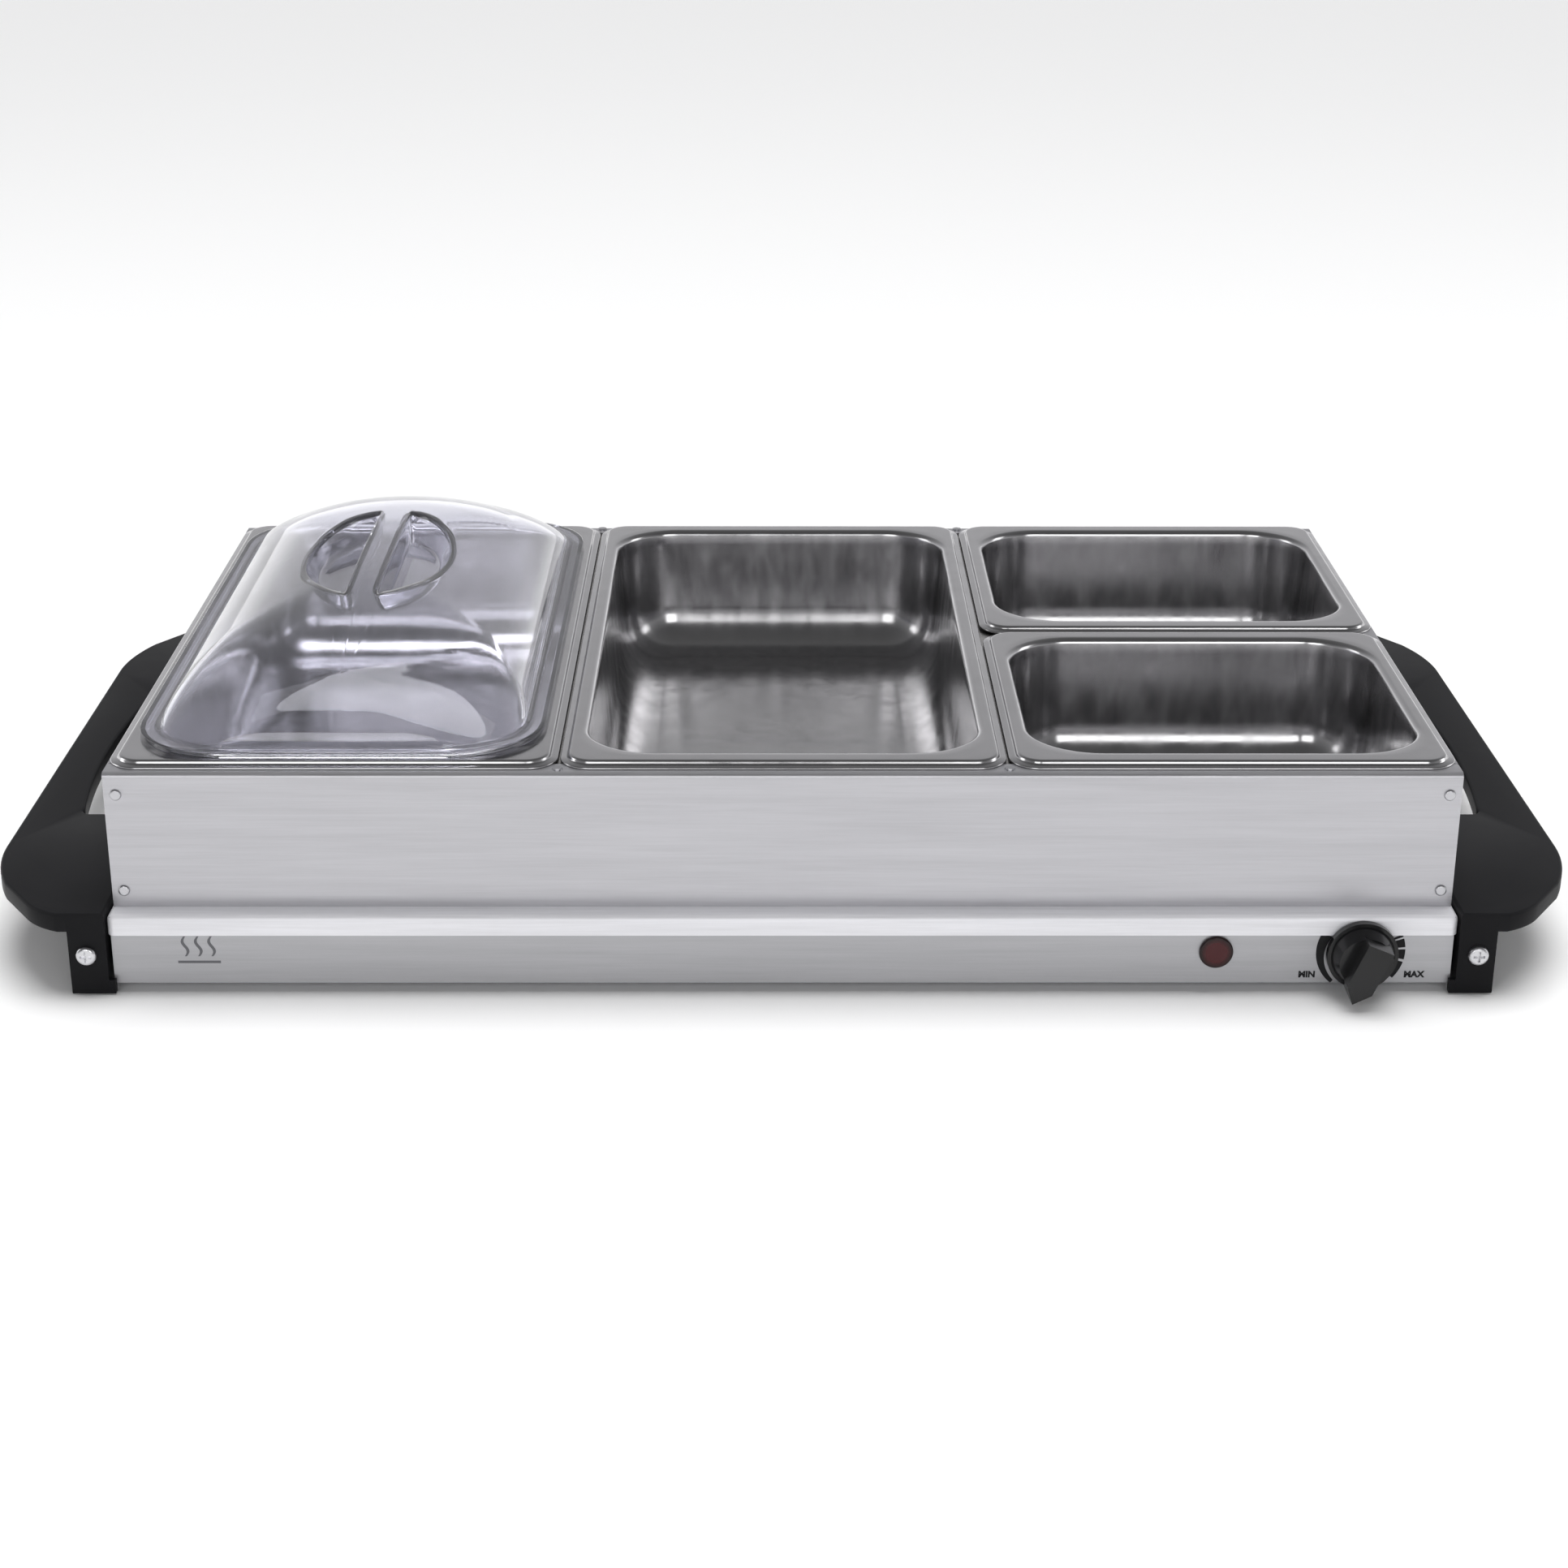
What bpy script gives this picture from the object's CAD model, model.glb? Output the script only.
import math

import bmesh
import bpy
from mathutils import Matrix, Vector


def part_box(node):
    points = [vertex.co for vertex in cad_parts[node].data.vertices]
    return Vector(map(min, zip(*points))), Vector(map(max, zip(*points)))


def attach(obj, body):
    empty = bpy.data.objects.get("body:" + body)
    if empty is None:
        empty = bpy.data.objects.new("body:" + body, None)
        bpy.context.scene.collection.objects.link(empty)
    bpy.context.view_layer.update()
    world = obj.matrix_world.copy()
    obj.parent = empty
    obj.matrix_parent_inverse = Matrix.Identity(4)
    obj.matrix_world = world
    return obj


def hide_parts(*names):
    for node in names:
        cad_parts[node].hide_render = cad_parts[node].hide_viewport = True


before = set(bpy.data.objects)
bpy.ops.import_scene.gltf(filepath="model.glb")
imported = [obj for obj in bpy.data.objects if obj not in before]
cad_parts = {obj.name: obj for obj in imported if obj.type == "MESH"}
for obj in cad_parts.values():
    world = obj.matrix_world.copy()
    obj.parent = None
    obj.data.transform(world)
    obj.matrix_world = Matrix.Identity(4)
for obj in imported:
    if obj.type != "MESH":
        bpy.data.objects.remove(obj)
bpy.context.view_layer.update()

# Electric buffet server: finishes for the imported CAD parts, and finer pieces for
# the pans, the lid, the handles and the print.  Lengths below are in millimetres,
# and MM turns them into the scene's metres.
MM = 0.001


# ---- Places read from the frame ---------------------------------------------
def box_mm(node):
    """Lowest and highest corner of a CAD node, in millimetres."""
    low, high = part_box(node)
    return low / MM, high / MM


def centre_mm(node):
    """Middle of a CAD node's box, in millimetres."""
    low, high = box_mm(node)
    return (low + high) / 2


plate_centre = centre_mm("warming_plate")
face_y = box_mm("base_front_panel")[0].y
knob_axis = centre_mm("knob_spindle")
lid_low, lid_high = box_mm("lid")
lid_middle = (lid_low + lid_high) / 2


# ---- Mesh helpers -----------------------------------------------------------
def make_piece(name, points, faces, smooth=True):
    """A mesh object from points in millimetres."""
    mesh = bpy.data.meshes.new(name)
    mesh.from_pydata([Vector(point) * MM for point in points], [], faces)
    mesh.validate()
    mesh.polygons.foreach_set("use_smooth", [smooth] * len(mesh.polygons))
    piece = bpy.data.objects.new(name, mesh)
    bpy.context.scene.collection.objects.link(piece)
    return piece


def add_modifier(piece, kind, **settings):
    """A modifier with its settings."""
    modifier = piece.modifiers.new(kind.lower(), kind)
    for key, value in settings.items():
        setattr(modifier, key, value)
    return modifier


def loft_rings(rings):
    """Points and quads through rings of equal length, the last ring closed by a fan."""
    count = len(rings[0])
    points = [point for ring in rings for point in ring]
    faces = []
    for row in range(len(rings) - 1):
        for column in range(count):
            following = (column + 1) % count
            faces.append((row * count + column, row * count + following,
                          (row + 1) * count + following, (row + 1) * count + column))
    hub = sum((Vector(point) for point in rings[-1]), Vector()) / count
    points.append(hub)
    last = (len(rings) - 1) * count
    for column in range(count):
        faces.append((last + column, last + (column + 1) % count, len(points) - 1))
    return points, faces


def rounded_ring(half_x, half_y, radius, height, middle, per_corner=12, per_side=16):
    """Points round a rounded rectangle, anticlockwise from the lower right corner."""
    ring = []
    corners = ((1, -1, -90), (1, 1, 0), (-1, 1, 90), (-1, -1, 180))
    for index, (side_x, side_y, start) in enumerate(corners):
        hub = (middle.x + side_x * (half_x - radius), middle.y + side_y * (half_y - radius))
        arc = []
        for step in range(per_corner + 1):
            turn = math.radians(start + 90 * step / per_corner)
            arc.append(Vector((hub[0] + radius * math.cos(turn), hub[1] + radius * math.sin(turn), height)))
        ring.extend(arc)
        next_x, next_y, next_start = corners[(index + 1) % 4]
        turn = math.radians(next_start)
        goal = Vector((middle.x + next_x * (half_x - radius) + radius * math.cos(turn),
                       middle.y + next_y * (half_y - radius) + radius * math.sin(turn), height))
        for step in range(1, per_side):
            ring.append(arc[-1].lerp(goal, step / per_side))
    return ring


def smooth_step(value):
    """0 below 0, 1 above 1, and an eased rise between."""
    value = min(1.0, max(0.0, value))
    return value * value * (3 - 2 * value)


# ---- Material helpers -------------------------------------------------------
def new_material(name, color, metallic=0.0, roughness=0.5):
    """A material with its principled shader; returns the material, tree and shader."""
    material = bpy.data.materials.new(name)
    material.use_nodes = True
    tree = material.node_tree
    shader = tree.nodes["Principled BSDF"]
    shader.inputs["Base Color"].default_value = (*color, 1)
    shader.inputs["Metallic"].default_value = metallic
    shader.inputs["Roughness"].default_value = roughness
    return material, tree, shader


def noise(tree, stretch, detail=3.0, roughness=0.55, offset=(0, 0, 0)):
    """Noise over the object's own coordinates; stretch is cycles per metre along each axis."""
    place = tree.nodes.new("ShaderNodeTexCoord")
    mapping = tree.nodes.new("ShaderNodeMapping")
    mapping.inputs["Scale"].default_value = stretch
    mapping.inputs["Location"].default_value = offset
    texture = tree.nodes.new("ShaderNodeTexNoise")
    texture.inputs["Scale"].default_value = 1.0
    texture.inputs["Detail"].default_value = detail
    texture.inputs["Roughness"].default_value = roughness
    tree.links.new(place.outputs["Object"], mapping.inputs["Vector"])
    tree.links.new(mapping.outputs["Vector"], texture.inputs["Vector"])
    return texture.outputs["Fac"]


def spread(tree, value, low, high, from_low=0.3, from_high=0.7):
    """The value remapped to a range."""
    node = tree.nodes.new("ShaderNodeMapRange")
    node.inputs["From Min"].default_value = from_low
    node.inputs["From Max"].default_value = from_high
    node.inputs["To Min"].default_value = low
    node.inputs["To Max"].default_value = high
    tree.links.new(value, node.inputs["Value"])
    return node.outputs["Result"]


def blend_colors(tree, factor, color_a, color_b):
    """A colour between two, by a factor."""
    node = tree.nodes.new("ShaderNodeMix")
    node.data_type = "RGBA"
    node.inputs["A"].default_value = (*color_a, 1)
    node.inputs["B"].default_value = (*color_b, 1)
    tree.links.new(factor, node.inputs["Factor"])
    return node.outputs["Result"]


def add_bump(tree, shader, height, strength, distance):
    """Surface relief from a height; distance is in millimetres."""
    node = tree.nodes.new("ShaderNodeBump")
    node.inputs["Strength"].default_value = strength
    node.inputs["Distance"].default_value = distance * MM
    tree.links.new(height, node.inputs["Height"])
    tree.links.new(node.outputs["Normal"], shader.inputs["Normal"])


def brushed_steel(name, fine, coarse, tone=(0.495, 0.492, 0.515), roughness=0.36,
                  metallic=0.78):
    """Steel with a drawn grain: fine lines, longer streaks and a soft cloud of wear."""
    material, tree, shader = new_material(name, tone, metallic, roughness)
    lines = noise(tree, fine, 3.0, 0.6)
    streaks = noise(tree, coarse, 3.0, 0.5, (3, 7, 1))
    mixed = tree.nodes.new("ShaderNodeMath")
    mixed.operation = "ADD"
    tree.links.new(lines, mixed.inputs[0])
    tree.links.new(streaks, mixed.inputs[1])
    dark = tuple(0.93 * channel for channel in tone)
    light = tuple(1.07 * channel for channel in tone)
    color = blend_colors(tree, spread(tree, mixed.outputs["Value"], 0.0, 1.0, 0.7, 1.3), dark, light)
    tree.links.new(color, shader.inputs["Base Color"])
    tree.links.new(spread(tree, lines, roughness - 0.06, roughness + 0.08), shader.inputs["Roughness"])
    shader.inputs["Anisotropic"].default_value = 0.55
    add_bump(tree, shader, lines, 0.25, 0.05)
    return material


def polished_steel(name, tone, roughness, ripple):
    """Pressed steel with a faint ripple and polishing marks."""
    material, tree, shader = new_material(name, tone, 1.0, roughness)
    marks = noise(tree, (120, 120, 40), 2.0, 0.5)
    waves = noise(tree, (22, 22, 14), 2.0, 0.5, (5, 2, 8))
    tree.links.new(spread(tree, marks, roughness * 0.75, roughness * 1.35), shader.inputs["Roughness"])
    color = blend_colors(tree, spread(tree, waves, 0.0, 1.0), tuple(0.93 * c for c in tone), tone)
    tree.links.new(color, shader.inputs["Base Color"])
    add_bump(tree, shader, waves, 0.5, ripple)
    return material


def moulded_plastic(name, color, roughness, texture_scale, relief, gloss=0.5):
    """Moulded plastic with a fine texture and slightly rubbed areas."""
    material, tree, shader = new_material(name, color, 0.0, roughness)
    shader.inputs["Specular IOR Level"].default_value = gloss
    grain = noise(tree, (texture_scale,) * 3, 2.0, 0.5)
    rubbed = noise(tree, (18, 18, 18), 3.0, 0.6, (1, 4, 2))
    tree.links.new(spread(tree, rubbed, roughness - 0.05, roughness + 0.07), shader.inputs["Roughness"])
    worn = tuple(channel * 1.25 + 0.004 for channel in color)
    shade = blend_colors(tree, spread(tree, rubbed, 0.0, 1.0), color, worn)
    tree.links.new(shade, shader.inputs["Base Color"])
    add_bump(tree, shader, grain, 0.35, relief)
    return material


def clear_plastic():
    """Clear polystyrene with a cool violet cast."""
    material, tree, shader = new_material("clear_plastic", (0.90, 0.90, 0.97), 0.0, 0.03)
    shader.inputs["Transmission Weight"].default_value = 0.975
    shader.inputs["IOR"].default_value = 1.49
    waves = noise(tree, (28, 28, 28), 2.0, 0.5)
    tree.links.new(spread(tree, waves, 0.015, 0.05), shader.inputs["Roughness"])
    add_bump(tree, shader, waves, 0.3, 0.12)
    return material


def red_lens():
    """Dark red translucent lamp lens."""
    material, tree, shader = new_material("red_lens", (0.22, 0.012, 0.018), 0.0, 0.18)
    shader.inputs["Transmission Weight"].default_value = 0.25
    shader.inputs["Specular IOR Level"].default_value = 0.2
    shader.inputs["Coat Weight"].default_value = 0.1
    cells = noise(tree, (900, 900, 900), 1.0, 0.4)
    place = tree.nodes.new("ShaderNodeNewGeometry")
    away = tree.nodes.new("ShaderNodeVectorMath")
    away.operation = "DISTANCE"
    away.inputs[1].default_value = [value * MM for value in centre_mm("pilot_lamp_lens")]
    tree.links.new(place.outputs["Position"], away.inputs[0])
    edge = spread(tree, away.outputs["Value"], 0.0, 1.0, 0.0042, 0.0060)
    color = blend_colors(tree, edge, (0.075, 0.006, 0.008), (0.012, 0.001, 0.001))
    tree.links.new(color, shader.inputs["Base Color"])
    add_bump(tree, shader, cells, 0.3, 0.15)
    return material


front_steel = brushed_steel("steel_front", (30, 1100, 1100), (10, 260, 260))
plate_steel = brushed_steel("steel_plate", (30, 1100, 1100), (10, 260, 260), (0.80, 0.80, 0.83), 0.5, 0.35)
base_steel = brushed_steel("steel_base", (30, 1100, 1100), (10, 260, 260), (0.40, 0.40, 0.415), 0.36)
side_steel = brushed_steel("steel_side", (900, 14, 900), (120, 5, 120))
pan_steel = polished_steel("steel_pan", (0.56, 0.555, 0.565), 0.19, 0.12)
bar_steel = polished_steel("steel_bar", (0.45, 0.44, 0.43), 0.25, 0.1)
bright_zinc = polished_steel("zinc", (0.62, 0.63, 0.66), 0.22, 0.05)
screw_metal = polished_steel("screw_metal", (0.62, 0.62, 0.64), 0.28, 0.02)
rivet_metal = polished_steel("rivet_metal", (0.52, 0.52, 0.54), 0.30, 0.02)
black_plastic = moulded_plastic("black_plastic", (0.009, 0.009, 0.010), 0.42, 1600, 0.04, 0.05)
knob_plastic = moulded_plastic("knob_plastic", (0.005, 0.005, 0.0055), 0.20, 900, 0.01, 0.35)
rubber = moulded_plastic("rubber", (0.018, 0.018, 0.018), 0.7, 1200, 0.05)
phenolic = moulded_plastic("phenolic", (0.05, 0.035, 0.025), 0.5, 900, 0.03)
mineral = moulded_plastic("mineral_board", (0.62, 0.57, 0.46), 0.9, 500, 0.4)
ceramic = moulded_plastic("ceramic", (0.74, 0.71, 0.64), 0.6, 700, 0.03)
sleeve = moulded_plastic("glass_sleeve", (0.62, 0.60, 0.52), 0.8, 1500, 0.1)
sheath = polished_steel("element_sheath", (0.24, 0.20, 0.17), 0.4, 0.1)
aluminium = polished_steel("aluminium_sheet", (0.80, 0.81, 0.83), 0.18, 0.3)
copper = polished_steel("copper_bulb", (0.72, 0.42, 0.26), 0.25, 0.05)
print_ink = moulded_plastic("print_ink", (0.012, 0.012, 0.013), 0.5, 1200, 0.01, 0.1)
grey_ink = moulded_plastic("grey_ink", (0.10, 0.10, 0.11), 0.5, 1200, 0.01)
lens_red = red_lens()
clear = clear_plastic()

node_finish = {
    plate_steel: ("warming_plate",),
    base_steel: ("base_front_panel", "base_rear_panel"),
    front_steel: ("carrier_front_panel", "carrier_rear_panel"),
    side_steel: ("base_left_panel", "base_right_panel", "carrier_left_panel", "carrier_right_panel"),
    bar_steel: ("carrier_bar_left", "carrier_bar_right", "carrier_cross_bar"),
    bright_zinc: ("bottom_cover", "element_clamps", "thermostat_bracket", "thermostat_nut",
                  "pilot_lamp_clip", "thermal_cutout", "knob_spindle"),
    screw_metal: ("handle_screws",),
    rivet_metal: ("carrier_rivets",),
    knob_plastic: ("control_knob",),
    rubber: ("foot_pads", "cable_inlet"),
    phenolic: ("thermostat_body", "pilot_lamp_body"),
    mineral: ("insulation_board",),
    ceramic: ("terminal_block",),
    sleeve: ("inner_wires",),
    sheath: ("heating_element",),
    aluminium: ("heat_reflector",),
    copper: ("sensor_bulb",),
    lens_red: ("pilot_lamp_lens",),
}
for finish, names in node_finish.items():
    for name in names:
        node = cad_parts[name]
        node.data.materials.clear()
        node.data.materials.append(finish)


# ---- Pans -------------------------------------------------------------------
PAN_STEP = 1.8
PAN_RIM_X = 9.6
PAN_RIM_Y = 13.0
PAN_FLANGE_CORNER = 12.0
PAN_MOUTH_CORNER = 28.0
PAN_FLOOR_CORNER = 24.0
PAN_DRAFT = 4.0
PAN_FLOOR_FILLET = 20.0
PAN_ROLL = 2.6
PAN_SHEET = 0.7
PAN_FLOOR_CROWN = 0.5


def pan_ring(half, inset_x, inset_y, corner, height, middle):
    """One level line of a pan."""
    return rounded_ring(half.x - inset_x, half.y - inset_y, corner, height, middle)


def make_pan(name, node, body):
    """A pressed pan: turned lip, strip, raised land, rolled mouth, tapered tub and floor."""
    low, high = box_mm(node)
    middle = (low + high) / 2
    half = (high - low) / 2
    land = high.z
    strip = land - PAN_STEP
    floor = low.z + 0.8
    rings = []
    for inset, height in ((0.05, strip - 0.95), (0.0, strip - 0.5), (0.12, strip - 0.15), (0.45, strip)):
        rings.append(pan_ring(half, inset, inset, PAN_FLANGE_CORNER - inset, height, middle))
    for inset, height in ((2.3, strip + 0.05), (2.75, strip + 0.25), (3.0, strip + 0.7), (3.15, strip + 1.2),
                          (3.45, strip + 1.6), (3.95, land - 0.02), (4.6, land)):
        rings.append(pan_ring(half, inset, inset, PAN_FLANGE_CORNER - 0.8 * inset, height, middle))
    start_x = PAN_RIM_X - PAN_ROLL
    start_y = PAN_RIM_Y - PAN_ROLL
    for share in (0.3, 0.7, 1.0):
        inset_x = 4.6 + (start_x - 4.6) * share
        inset_y = 4.6 + (start_y - 4.6) * share
        corner = 8.3 + (PAN_MOUTH_CORNER + PAN_ROLL - 8.3) * share
        rings.append(pan_ring(half, inset_x, inset_y, corner, land, middle))
    for step in range(1, 6):
        turn = math.radians(84 * step / 5)
        out = PAN_ROLL * math.sin(turn)
        rings.append(pan_ring(half, start_x + out, start_y + out, PAN_MOUTH_CORNER + PAN_ROLL - out,
                              land - PAN_ROLL * (1 - math.cos(turn)), middle))
    wall_top = land - PAN_ROLL
    wall_low = floor + PAN_FLOOR_FILLET
    for share in (0.12, 0.3, 0.5, 0.7, 0.88, 1.0):
        height = wall_top + (wall_low - wall_top) * share
        taper = PAN_DRAFT * (wall_top - height) / (wall_top - floor)
        corner = PAN_MOUTH_CORNER - (PAN_MOUTH_CORNER - PAN_FLOOR_CORNER) * share * 0.7
        rings.append(pan_ring(half, PAN_RIM_X + taper, PAN_RIM_Y + taper, corner, height, middle))
    base_taper = PAN_DRAFT * (wall_top - wall_low) / (wall_top - floor)
    for step in range(1, 9):
        turn = math.radians(90 * step / 8)
        out = base_taper + PAN_FLOOR_FILLET * (1 - math.cos(turn))
        corner = max(PAN_FLOOR_CORNER + 1.2 - (out - base_taper), 4.0)
        rings.append(pan_ring(half, PAN_RIM_X + out, PAN_RIM_Y + out, corner,
                              wall_low - PAN_FLOOR_FILLET * math.sin(turn), middle))
    edge = PAN_RIM_X + base_taper + PAN_FLOOR_FILLET
    edge_y = PAN_RIM_Y + base_taper + PAN_FLOOR_FILLET
    for share in (0.12, 0.3, 0.5, 0.7, 0.88):
        inset_x = edge + (half.x - edge) * share
        inset_y = edge_y + (half.y - edge_y) * share
        corner = min(13.0, 0.9 * (half.x - inset_x), 0.9 * (half.y - inset_y))
        rings.append(pan_ring(half, inset_x, inset_y, corner, floor + PAN_FLOOR_CROWN * smooth_step(share),
                              middle))
    points, faces = loft_rings(rings)
    pan = make_piece(name, points, faces)
    add_modifier(pan, "SOLIDIFY", thickness=PAN_SHEET * MM, offset=-1.0, use_even_offset=True)
    pan.data.materials.append(pan_steel)
    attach(pan, body)
    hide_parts(node)
    return pan


make_pan("left_pan_shell", "pan_left", "left_pan")
make_pan("middle_pan_shell", "pan_middle", "middle_pan")
make_pan("front_small_pan_shell", "pan_right_front", "front_small_pan")
make_pan("rear_small_pan_shell", "pan_right_rear", "rear_small_pan")


# ---- Lid --------------------------------------------------------------------
LID_WALL = 2.5
LID_RIM = 2.8
LID_DOME_X = 73.0
LID_DOME_Y = 151.0
LID_DOME_CORNER = 29.0
LID_RISE = 34.7
LID_BAR_HALF = 6.5
LID_OVAL_X = 31.0
LID_OVAL_Y = 61.0
LID_WELL_DROP = 12.2
LID_WELL_SLOPE = 7.0
LID_HUB_X = 17.5
LID_DOME_STEPS = 34
lid_base = Vector((lid_middle.x, lid_middle.y, lid_low.z + LID_RIM))


def rounded_box_distance(x, y, half_x, half_y, radius):
    """Signed distance to a rounded rectangle, negative inside."""
    over_x = abs(x) - (half_x - radius)
    over_y = abs(y) - (half_y - radius)
    outside = math.hypot(max(over_x, 0.0), max(over_y, 0.0))
    return outside + min(max(over_x, over_y), 0.0) - radius


def dome_rise(x, y):
    """Height of the dome above the rim, over a point inside its outline."""
    low, high = 0.0, 0.9999
    for _ in range(24):
        level = (low + high) / 2
        half_x = LID_DOME_X * (1.0 - level ** 1.52) ** 0.5
        half_y = LID_DOME_Y * (1.0 - level ** 1.9) ** 0.357
        radius = min(LID_DOME_CORNER + 24.0 * (1.0 - (1.0 - level) ** 3.5), half_x * 0.98)
        if rounded_box_distance(x, y, half_x, half_y, radius) < 0:
            low = level
        else:
            high = level
    return LID_RISE * low


def well_edge(x, y):
    """Below 0 inside the right half of the oval recess, with its corners rounded."""
    reach = math.hypot(x / LID_OVAL_X, y / LID_OVAL_Y)
    oval = (reach - 1.0) * 40.0
    chord = LID_BAR_HALF - x
    ease = 4.0
    share = max(ease - abs(oval - chord), 0.0) / ease
    return max(oval, chord) + share * share * ease / 4.0


def half_outline(x, y):
    """Below 0 inside the right half of the dome's outline."""
    return max(rounded_box_distance(x, y, LID_DOME_X, LID_DOME_Y, LID_DOME_CORNER), -x)


def reach_along(inside, turn, longest):
    """How far a ray from the well's hub runs before it leaves a region."""
    low, high = 0.0, longest
    for _ in range(30):
        middle = (low + high) / 2
        if inside(LID_HUB_X + middle * math.cos(turn), middle * math.sin(turn)) < 0:
            low = middle
        else:
            high = middle
    return low


def well_height(x, y, edge_height):
    """Surface of the finger well: steep beside the bar, sloping in from the oval."""
    from_chord = x - LID_BAR_HALF
    reach = math.hypot(x / LID_OVAL_X, y / LID_OVAL_Y)
    from_oval = (1.0 - reach) * 38.0
    fall_chord = smooth_step(from_chord / 1.5)
    slope = min(1.0, max(0.0, from_oval / LID_WELL_SLOPE))
    fall_oval = (1.0 - (1.0 - slope) ** 1.4) * smooth_step(from_oval / 1.0)
    floor = lid_high.z - lid_base.z - LID_WELL_DROP
    return edge_height + (floor - edge_height) * min(fall_chord, fall_oval)


def lid_shell():
    """Both halves of the dome with its two finger wells, and the flat rim, as one skin."""
    corner_turn = math.atan2(LID_DOME_Y, -LID_HUB_X)
    foot_rays = 151
    line_rays = 75
    turns = [-corner_turn + 2 * corner_turn * index / (foot_rays - 1) for index in range(foot_rays)]
    for index in range(line_rays):
        y = LID_DOME_Y * math.cos(math.pi * (index + 1) / (line_rays + 1))
        turns.append(math.atan2(y, -LID_HUB_X) % (2 * math.pi))
    rays = []
    for turn in turns:
        rays.append((math.cos(turn), math.sin(turn), reach_along(well_edge, turn, 70.0),
                     reach_along(half_outline, turn, 200.0)))
    rings = []
    for share in (0.08, 0.22, 0.36, 0.5, 0.6, 0.68, 0.75, 0.8, 0.84, 0.875, 0.905, 0.93, 0.95, 0.968,
                  0.985, 1.0):
        ring = []
        for cosine, sine, inner, _ in rays:
            x = LID_HUB_X + share * inner * cosine
            y = share * inner * sine
            ring.append((x, y, well_height(x, y, dome_rise(x, y))))
        rings.append(ring)
    for step in range(1, LID_DOME_STEPS + 1):
        share = 1.0 - (1.0 - step / LID_DOME_STEPS) ** 1.6
        ring = []
        for cosine, sine, inner, outer in rays:
            reach = inner + (outer - inner) * share
            x = LID_HUB_X + reach * cosine
            y = reach * sine
            x = 0.0 if x < 0.005 else x
            ring.append((x, y, dome_rise(x, y)))
        rings.append(ring)
    last = rings[-1]
    for index in range(foot_rays):
        last[index] = (last[index][0], last[index][1], 0.0)
    hub = (LID_HUB_X, 0.0, well_height(LID_HUB_X, 0.0, dome_rise(LID_HUB_X, 0.0)))
    count = len(turns)
    points = [hub] + [point for ring in rings for point in ring]
    faces = [(0, 1 + column, 1 + (column + 1) % count) for column in range(count)]
    for row in range(len(rings) - 1):
        for column in range(count):
            following = (column + 1) % count
            faces.append((1 + row * count + column, 1 + (row + 1) * count + column,
                          1 + (row + 1) * count + following, 1 + row * count + following))
    inner_row = [1 + (len(rings) - 1) * count + index for index in range(foot_rays)]
    flat_x = LID_DOME_X - LID_DOME_CORNER
    flat_y = LID_DOME_Y - LID_DOME_CORNER
    for out, drop in ((0.5, 0.35), (1.1, 0.0), (3.0, 0.0), (5.5, 0.0), (7.2, 0.0), (7.8, 0.15), (8.0, 0.5)):
        outer_row = []
        for index in range(foot_rays):
            x, y, _ = last[index]
            away = Vector((x - min(x, flat_x), y - min(max(y, -flat_y), flat_y), 0)).normalized()
            height = 0.6 - drop if out == 0.5 else -drop
            points.append((x + away.x * out, y + away.y * out, height))
            outer_row.append(len(points) - 1)
        for index in range(foot_rays - 1):
            faces.append((inner_row[index], outer_row[index], outer_row[index + 1], inner_row[index + 1]))
        inner_row = outer_row
    return points, faces


def make_lid():
    """The clear lid, mirrored from one half and given its wall."""
    points, faces = lid_shell()
    mirrored = [(-x, y, z) for x, y, z in points]
    size = len(points)
    faces += [tuple(size + corner for corner in reversed(face)) for face in faces]
    placed = [Vector(point) + lid_base for point in points + mirrored]
    lid = make_piece("lid_shell", placed, faces)
    join = bmesh.new()
    join.from_mesh(lid.data)
    seam = lid_base.x * MM
    for vertex in join.verts:
        if abs(vertex.co.x - seam) < 0.25 * MM:
            vertex.co.x = seam
    bmesh.ops.remove_doubles(join, verts=join.verts, dist=0.03 * MM)
    collapsed = [face for face in join.faces if all(abs(vertex.co.x - seam) < 1e-6 for vertex in face.verts)]
    bmesh.ops.delete(join, geom=collapsed, context="FACES")
    bmesh.ops.recalc_face_normals(join, faces=join.faces)
    join.to_mesh(lid.data)
    join.free()
    lid.data.polygons.foreach_set("use_smooth", [True] * len(lid.data.polygons))
    add_modifier(lid, "SOLIDIFY", thickness=LID_WALL * MM, offset=-1.0)
    lid.data.materials.append(clear)
    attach(lid, "pan_lid")
    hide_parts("lid")
    return lid


make_lid()


# ---- Handles ----------------------------------------------------------------
HANDLE_INNER = 265.2
HANDLE_HALF_Y = 177.0
HANDLE_THICK = 8.0
HANDLE_EDGE = 1.3
WEB_THICK = 3.0
WEB_HALF_Y = 160.0
WEB_LOW = 6.0
LEG_DEPTH = 16.0
LEG_WIDTH = 14.8
LEG_LIFT = 0.6
HANDLE_SIDE = (
    ((265.2, -177.0), None, (284.0, -177.0)),
    ((284.0, -177.0), (291.7, -172.6), (298.0, -166.0)),
    ((298.0, -166.0), None, (311.0, -146.5)),
    ((311.0, -146.5), (317.8, -127.0), (320.0, -105.0)),
    ((320.0, -105.0), None, (320.0, 0.0)),
)
GRIP_SIDE = (
    ((268.2, -74.0), None, (293.5, -74.0)),
    ((293.5, -74.0), (295.9, -72.8), (296.5, -70.0)),
    ((296.5, -70.0), (300.55, -36.0), (302.0, 0.0)),
)


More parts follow.
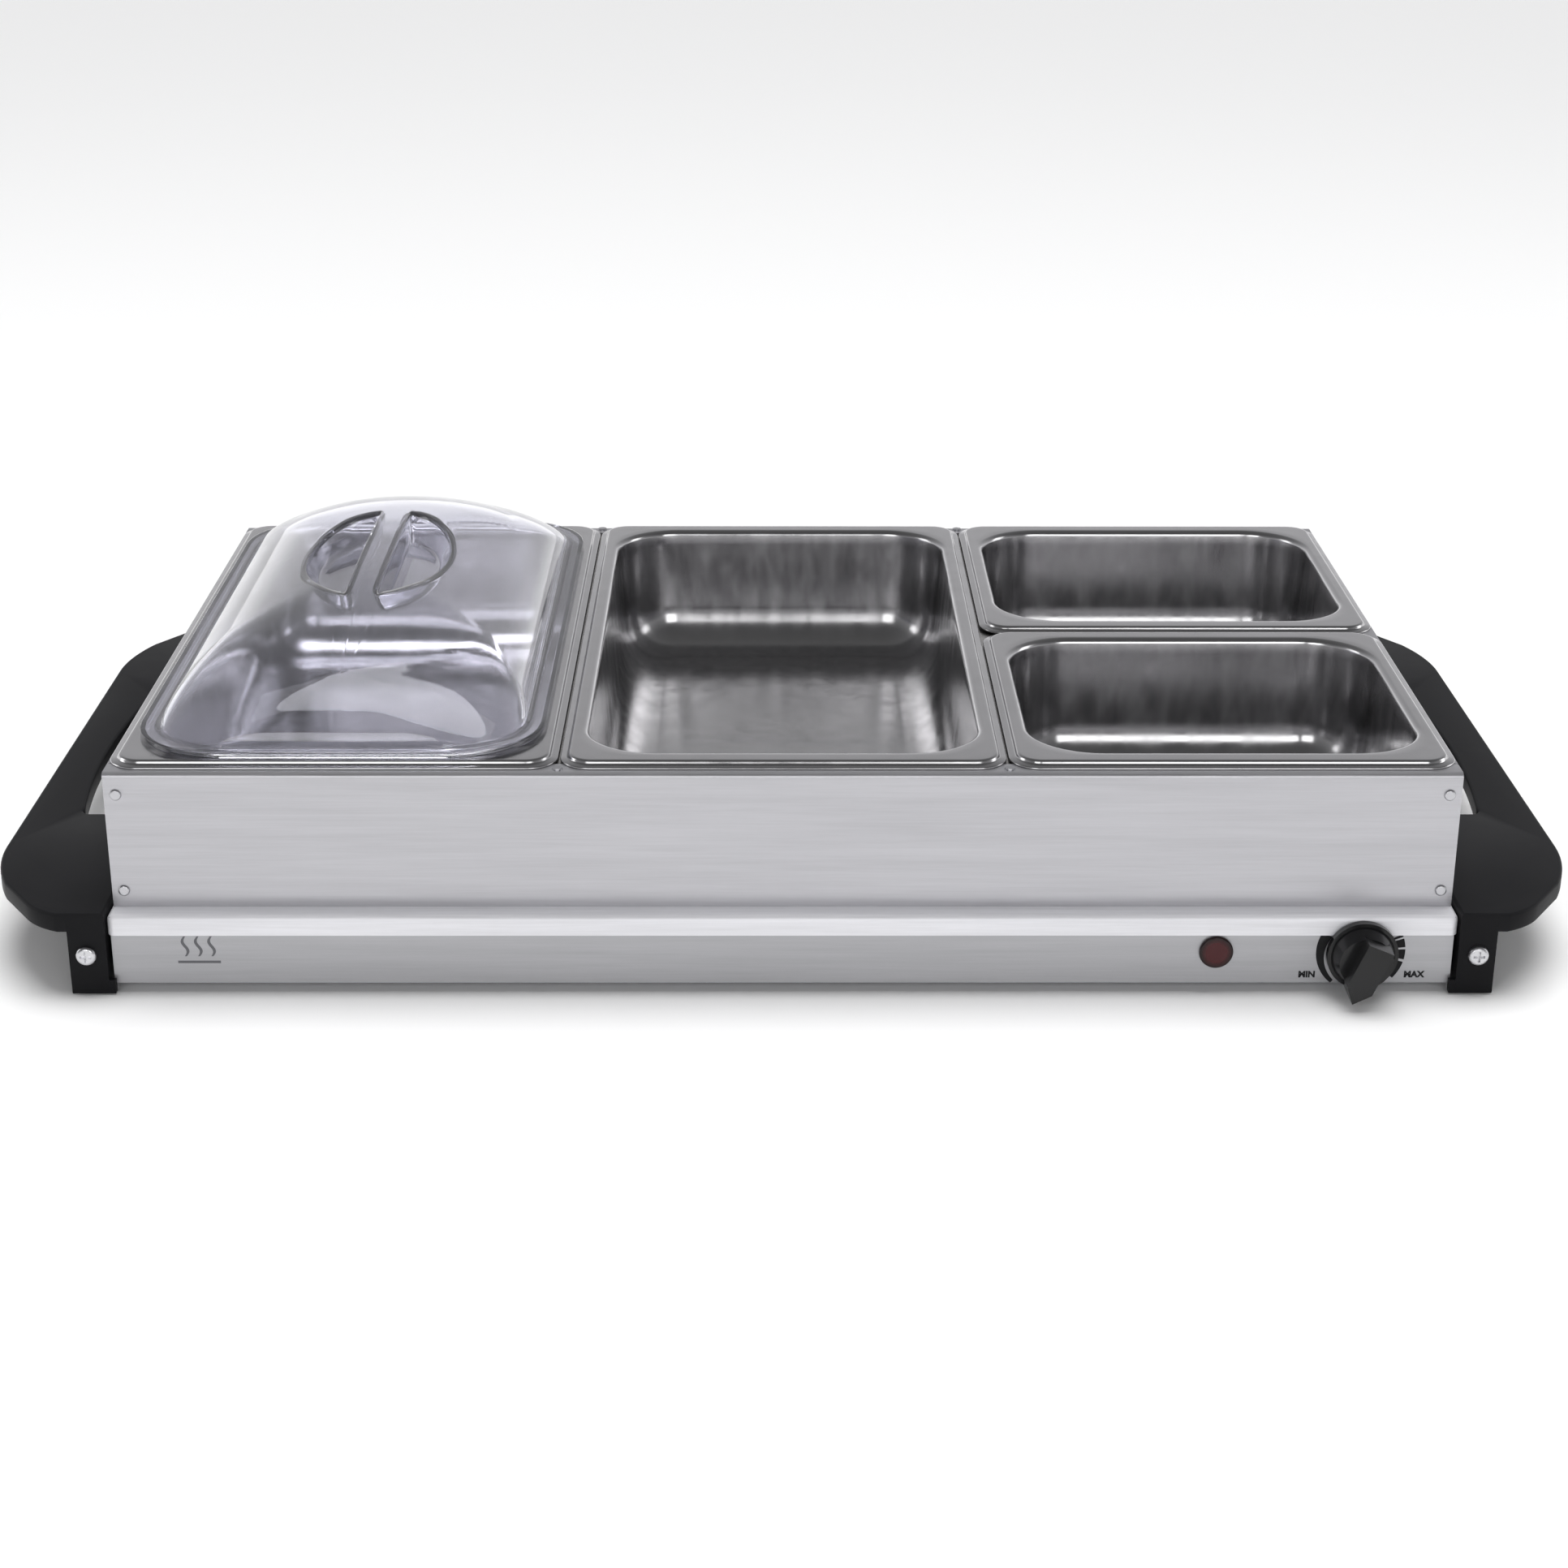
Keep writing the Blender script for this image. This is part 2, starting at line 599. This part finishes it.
def arc_through(start, middle, stop, steps=14):
    """Points on the circle through three points, without the last one; no middle gives a line."""
    if middle is None:
        return [start]
    (ax, ay), (bx, by), (cx, cy) = start, middle, stop
    scale = 2 * (ax * (by - cy) + bx * (cy - ay) + cx * (ay - by))
    hub_x = ((ax * ax + ay * ay) * (by - cy) + (bx * bx + by * by) * (cy - ay)
             + (cx * cx + cy * cy) * (ay - by)) / scale
    hub_y = ((ax * ax + ay * ay) * (cx - bx) + (bx * bx + by * by) * (ax - cx)
             + (cx * cx + cy * cy) * (bx - ax)) / scale
    radius = math.hypot(ax - hub_x, ay - hub_y)
    first = math.atan2(ay - hub_y, ax - hub_x)
    last = math.atan2(cy - hub_y, cx - hub_x)
    sweep = (last - first + math.pi) % (2 * math.pi) - math.pi
    return [(hub_x + radius * math.cos(first + sweep * step / steps),
             hub_y + radius * math.sin(first + sweep * step / steps)) for step in range(steps)]


def closed_outline(half):
    """A full outline from its front half, mirrored to the rear."""
    front = []
    for start, middle, stop in half:
        front.extend(arc_through(start, middle, stop))
    rear = [(x, -y) for x, y in reversed(front)]
    return front + rear


def box_outline(x_low, x_high, y_low, y_high):
    """Corners of a rectangle."""
    return [(x_low, y_low), (x_high, y_low), (x_high, y_high), (x_low, y_high)]


def slab_mesh(name, outlines, z_low, z_high, edge):
    """A flat slab from closed outlines, holes included, with its edges rounded."""
    curve = bpy.data.curves.new(name, "CURVE")
    curve.dimensions = "2D"
    curve.fill_mode = "BOTH"
    curve.extrude = ((z_high - z_low) / 2 - edge) * MM
    curve.bevel_depth = edge * MM
    curve.bevel_resolution = 3
    curve.offset = -edge * MM
    for outline in outlines:
        line = curve.splines.new("POLY")
        line.points.add(len(outline) - 1)
        for point, (x, y) in zip(line.points, outline):
            point.co = (x * MM, y * MM, 0, 1)
        line.use_cyclic_u = True
    holder = bpy.data.objects.new(name, curve)
    bpy.context.scene.collection.objects.link(holder)
    bpy.context.view_layer.update()
    mesh = bpy.data.meshes.new_from_object(holder.evaluated_get(bpy.context.evaluated_depsgraph_get()))
    mesh.transform(Matrix.Translation((0, 0, (z_low + z_high) / 2 * MM)))
    bpy.data.objects.remove(holder)
    return mesh


def make_handle(name, node, side):
    """One end moulding: carrying slab with its grip hole, end web, two legs and their toes."""
    top = box_mm(node)[1].z
    under = top - HANDLE_THICK
    meshes = [slab_mesh("slab", [closed_outline(HANDLE_SIDE), closed_outline(GRIP_SIDE)], under, top,
                        HANDLE_EDGE)]
    web = box_outline(HANDLE_INNER, HANDLE_INNER + WEB_THICK, -WEB_HALF_Y, WEB_HALF_Y)
    meshes.append(slab_mesh("web", [web], WEB_LOW, under + 2, 0.4))
    for y_low, y_high in ((-HANDLE_HALF_Y, 2.6 - HANDLE_HALF_Y), (HANDLE_HALF_Y - 2.6, HANDLE_HALF_Y)):
        meshes.append(slab_mesh("toe", [box_outline(262.8, 266.0, y_low, y_high)], LEG_LIFT, 6.5, 0.5))
    leg_inner = HANDLE_HALF_Y - LEG_DEPTH
    leg_outer = HANDLE_HALF_Y + 0.05
    for y_low, y_high in ((-leg_outer, -leg_inner), (leg_inner, leg_outer)):
        meshes.append(slab_mesh("leg", [box_outline(HANDLE_INNER, HANDLE_INNER + LEG_WIDTH, y_low, y_high)],
                                LEG_LIFT, top - 1.2, 0.5))
    join = bmesh.new()
    for mesh in meshes:
        join.from_mesh(mesh)
    bmesh.ops.scale(join, vec=(side, 1, 1), verts=join.verts)
    bmesh.ops.translate(join, vec=(plate_centre.x * MM, plate_centre.y * MM, 0), verts=join.verts)
    bmesh.ops.remove_doubles(join, verts=join.verts, dist=0.01 * MM)
    bmesh.ops.recalc_face_normals(join, faces=join.faces)
    final = bpy.data.meshes.new(name)
    join.to_mesh(final)
    join.free()
    final.materials.clear()
    final.materials.append(black_plastic)
    final.polygons.foreach_set("material_index", [0] * len(final.polygons))
    final.polygons.foreach_set("use_smooth", [abs(face.normal.z) < 0.99 for face in final.polygons])
    final.set_sharp_from_angle(angle=math.radians(38))
    handle = bpy.data.objects.new(name, final)
    bpy.context.scene.collection.objects.link(handle)
    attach(handle, "warmer_base")
    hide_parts(node)


make_handle("right_handle_moulding", "handle_right", 1)
make_handle("left_handle_moulding", "handle_left", -1)


# ---- Print on the base's face -----------------------------------------------
INK = 0.04
DIAL_OUTER = 17.6


def plate_piece(name, outline, material):
    """A thin flat piece on the base's front face, from an outline of (x, z) points."""
    count = len(outline)
    points = [(x, face_y - INK, z) for x, z in outline] + [(x, face_y + INK, z) for x, z in outline]
    faces = [tuple(range(count)), tuple(reversed(range(count, 2 * count)))]
    for index in range(count):
        following = (index + 1) % count
        faces.append((index, index + count, following + count, following))
    piece = make_piece(name, points, faces, smooth=False)
    piece.data.materials.append(material)
    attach(piece, "warmer_base")
    return piece


def dial_block(name, start, stop, inner_start, inner_stop):
    """A block of the dial's scale between two clock angles, in degrees from +X towards +Z."""
    outer = []
    inner = []
    steps = max(4, int(abs(stop - start) / 3))
    for step in range(steps + 1):
        share = step / steps
        turn = math.radians(start + (stop - start) * share)
        radius = inner_start + (inner_stop - inner_start) * share
        outer.append((knob_axis.x + DIAL_OUTER * math.cos(turn), knob_axis.z + DIAL_OUTER * math.sin(turn)))
        inner.append((knob_axis.x + radius * math.cos(turn), knob_axis.z + radius * math.sin(turn)))
    return plate_piece(name, outer + inner[::-1], print_ink)


dial_block("dial_low_arc", 231, 152, 16.0, 13.2)
for number, (start, stop, inner) in enumerate(((25, 21, 13.2), (18.5, 6, 13.2), (3, -11.5, 13.0),
                                               (-15, -41, 12.8)), 1):
    dial_block(f"dial_block_{number}", start, stop, inner, inner)


def dial_word(name, text, x, z, height):
    """A dial word from Blender's own font, as thin flat letters."""
    curve = bpy.data.curves.new(name + "_curve", "FONT")
    curve.body = text
    curve.align_x = "CENTER"
    curve.align_y = "CENTER"
    curve.size = height * MM * 1.42
    curve.extrude = INK * MM
    curve.offset = 0.00018
    holder = bpy.data.objects.new(name + "_holder", curve)
    bpy.context.scene.collection.objects.link(holder)
    bpy.context.view_layer.update()
    mesh = bpy.data.meshes.new_from_object(holder)
    bpy.data.objects.remove(holder)
    turn = Matrix.Translation(Vector((x, face_y, z)) * MM) @ Matrix.Rotation(math.pi / 2, 4, "X")
    mesh.transform(turn)
    mesh.materials.clear()
    mesh.materials.append(print_ink)
    word = bpy.data.objects.new(name, mesh)
    bpy.context.scene.collection.objects.link(word)
    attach(word, "warmer_base")


dial_word("dial_min", "MIN", knob_axis.x - 20.6, knob_axis.z - 10.1, 2.6)
dial_word("dial_max", "MAX", knob_axis.x + 21.8, knob_axis.z - 10.1, 2.6)

HEAT_X = -229.7
HEAT_LOW = 12.4
for wave in range(3):
    left = []
    right = []
    for step in range(25):
        share = step / 24
        middle_x = HEAT_X + plate_centre.x + (wave - 1) * 5.2 + 1.0 * math.sin(2 * math.pi * share)
        half_width = 0.75 - 0.35 * abs(2 * share - 1)
        left.append((middle_x - half_width, HEAT_LOW + 3.2 + 8.6 * share))
        right.append((middle_x + half_width, HEAT_LOW + 3.2 + 8.6 * share))
    plate_piece(f"heat_wave_{wave + 1}", right + left[::-1], grey_ink)
plate_piece("heat_bar", [(HEAT_X + plate_centre.x + x, HEAT_LOW + z) for x, z in
                         ((-8.4, 0.2), (8.4, 0.2), (8.4, 1.3), (-8.4, 1.3))], grey_ink)


# ---- Room, lights and camera --------------------------------------------------
def make_floor():
    """A wide pale floor."""
    floor = make_piece("floor", [(-6000, -4000, 0), (6000, -4000, 0), (6000, 9000, 0), (-6000, 9000, 0)],
                       [(0, 1, 2, 3)], smooth=False)
    material, _, shader = new_material("floor_white", (0.93, 0.93, 0.93), 0.0, 0.55)
    shader.inputs["Specular IOR Level"].default_value = 0.2
    floor.data.materials.append(material)


def area_light(name, place, aim, size_x, size_y, watts):
    """A soft box aimed at a point; places and sizes in metres."""
    lamp = bpy.data.lights.new(name, "AREA")
    lamp.shape = "RECTANGLE"
    lamp.size = size_x
    lamp.size_y = size_y
    lamp.energy = watts
    holder = bpy.data.objects.new(name, lamp)
    holder.location = place
    holder.rotation_euler = (Vector(aim) - Vector(place)).to_track_quat("-Z", "Y").to_euler()
    bpy.context.scene.collection.objects.link(holder)
    return holder


def sun_light(name, direction, strength, spread_degrees):
    """A wide overhead light, kept out of the reflections, that reaches the whole floor evenly."""
    lamp = bpy.data.lights.new(name, "SUN")
    lamp.energy = strength
    lamp.angle = math.radians(spread_degrees)
    holder = bpy.data.objects.new(name, lamp)
    holder.rotation_euler = Vector(direction).to_track_quat("Z", "Y").to_euler()
    holder.visible_glossy = False
    bpy.context.scene.collection.objects.link(holder)


def studio_world():
    """A grey studio: bright round the horizon, darker overhead."""
    world = bpy.data.worlds.new("studio")
    bpy.context.scene.world = world
    world.use_nodes = True
    tree = world.node_tree
    place = tree.nodes.new("ShaderNodeTexCoord")
    split = tree.nodes.new("ShaderNodeSeparateXYZ")
    tree.links.new(place.outputs["Generated"], split.inputs["Vector"])
    ramp = tree.nodes.new("ShaderNodeValToRGB")
    stops = ((0.0, 0.80), (0.10, 0.62), (0.22, 0.42), (0.40, 0.31), (0.70, 0.15), (1.0, 0.12))
    ramp.color_ramp.elements[0].position = stops[0][0]
    ramp.color_ramp.elements[0].color = (1, 1, 1, 1)
    ramp.color_ramp.elements[1].position = stops[-1][0]
    ramp.color_ramp.elements[1].color = (stops[-1][1],) * 3 + (1,)
    for position, value in stops[1:-1]:
        element = ramp.color_ramp.elements.new(position)
        element.color = (value, value, value * 1.02, 1)
    tree.links.new(split.outputs["Z"], ramp.inputs["Fac"])
    rear = spread(tree, split.outputs["Y"], 0.55, 1.45, -1.0, 1.0)
    shade = tree.nodes.new("ShaderNodeVectorMath")
    shade.operation = "SCALE"
    tree.links.new(ramp.outputs["Color"], shade.inputs[0])
    tree.links.new(rear, shade.inputs["Scale"])
    tree.links.new(shade.outputs["Vector"], tree.nodes["Background"].inputs["Color"])
    tree.nodes["Background"].inputs["Strength"].default_value = 1.0


def set_camera():
    """The view of the object that the finishes are matched in."""
    lens = bpy.data.cameras.new("view")
    lens.lens = 63.64
    lens.sensor_width = 36.0
    lens.clip_end = 100
    camera = bpy.data.objects.new("view", lens)
    down = math.radians(21.88)
    yaw = math.radians(0.43)
    roll = math.radians(0.17)
    forward = Vector((math.sin(yaw) * math.cos(down), math.cos(yaw) * math.cos(down), -math.sin(down)))
    right = Vector((math.cos(yaw), -math.sin(yaw), 0))
    up = right.cross(forward)
    turned_right = right * math.cos(roll) + up * math.sin(roll)
    turned_up = up * math.cos(roll) - right * math.sin(roll)
    camera.matrix_world = Matrix((
        (turned_right.x, turned_up.x, -forward.x, plate_centre.x * MM - 0.00740),
        (turned_right.y, turned_up.y, -forward.y, plate_centre.y * MM - 1.16144),
        (turned_right.z, turned_up.z, -forward.z, 0.48512),
        (0, 0, 0, 1)))
    bpy.context.scene.collection.objects.link(camera)
    bpy.context.scene.camera = camera


make_floor()
studio_world()
sun_light("overhead", (0.10, 0.22, 1.0), 2.3, 46)
area_light("overhead_box", (0.0, 0.3, 1.9), (0, 0, 0.05), 2.0, 1.1, 8).visible_glossy = False
area_light("front_left_box", (-0.57, -2.0, 0.78), (0, 0, 0.05), 0.86, 1.0, 6.5)
area_light("front_right_box", (0.57, -2.0, 0.78), (0, 0, 0.05), 0.86, 1.0, 6.5)
area_light("left_box", (-1.9, 0.2, 0.7), (0, 0, 0.05), 0.8, 0.9, 4)
area_light("right_box", (1.9, 0.2, 0.7), (0, 0, 0.05), 0.8, 0.9, 4)
set_camera()

scene = bpy.context.scene
scene.view_settings.view_transform = "Standard"

bpy.context.view_layer.update()
